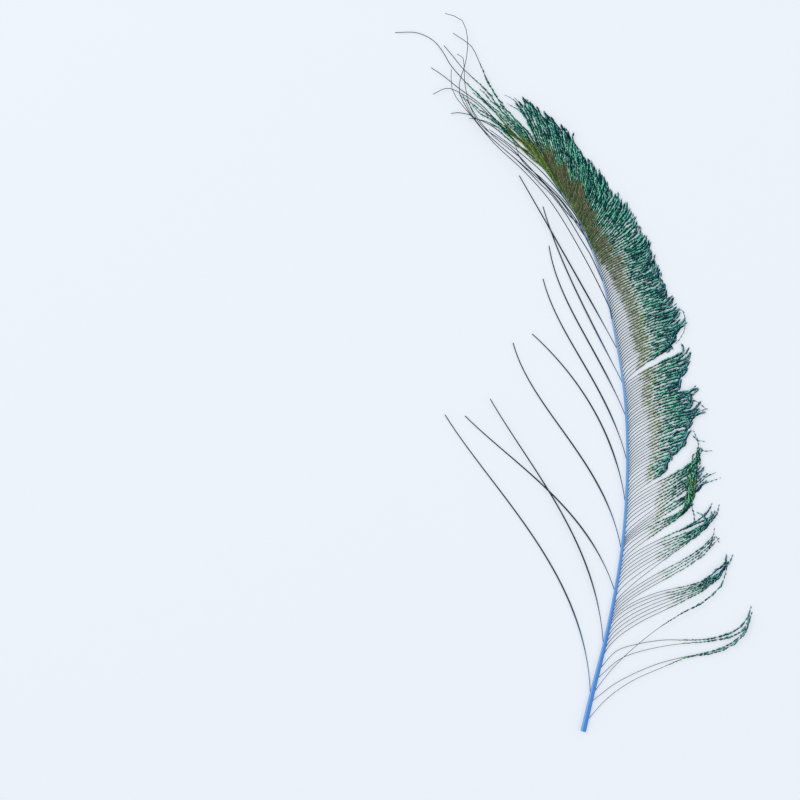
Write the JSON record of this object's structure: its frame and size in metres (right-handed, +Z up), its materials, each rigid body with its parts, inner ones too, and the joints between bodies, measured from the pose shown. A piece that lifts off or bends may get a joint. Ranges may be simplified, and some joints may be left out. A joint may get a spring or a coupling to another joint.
{
  "type": "peacock side feather",
  "caption": "Long curved one-sided feather lying flat: blue dyed quill, dense green iridescent vane on one side, long bare barbs on the other.",
  "frame": {"origin": "middle of the footprint, on the surface that the feather lies on", "axes": "+Y along the feather from the cut end to the tip, +X towards the dense vane, +Z up from the surface"},
  "size_m": [0.1782, 0.3585, 0.0054],
  "materials": {
    "shaft": "dyed keratin quill, satin, azure blue with paler centre",
    "vane": "iridescent barbs, emerald to teal with bronze green nearer the shaft",
    "bare_barb": "thin dark keratin barbs, grey green to near black, bluish at the root"
  },
  "bodies": {
    "root": {"inner_barb_01": "bare_barb", "inner_barb_02": "bare_barb", "inner_barb_03": "bare_barb", "inner_barb_04": "bare_barb", "inner_barb_05": "bare_barb", "inner_barb_06": "bare_barb", "inner_barb_07": "bare_barb", "inner_barb_08": "bare_barb", "inner_barb_09": "bare_barb", "inner_barb_10": "bare_barb", "lower_barb_01": "vane", "lower_barb_02": "vane", "lower_barb_03": "vane", "lower_barb_04": "vane", "lower_barb_05": "vane", "lower_tuft_01": "vane", "lower_tuft_02": "vane", "lower_tuft_03": "vane", "lower_tuft_04": "vane", "shaft": "shaft", "tip_barb_01": "bare_barb", "tip_barb_02": "bare_barb", "tip_barb_03": "bare_barb", "tip_barb_04": "bare_barb", "tip_barb_05": "bare_barb", "tip_barb_06": "bare_barb", "tip_barb_07": "bare_barb", "tip_barb_08": "bare_barb", "vane_lobe_01": "vane", "vane_lobe_02": "vane", "vane_lobe_03": "vane", "vane_lobe_04": "vane", "vane_lobe_05": "vane"}
  },
  "joints": []
}
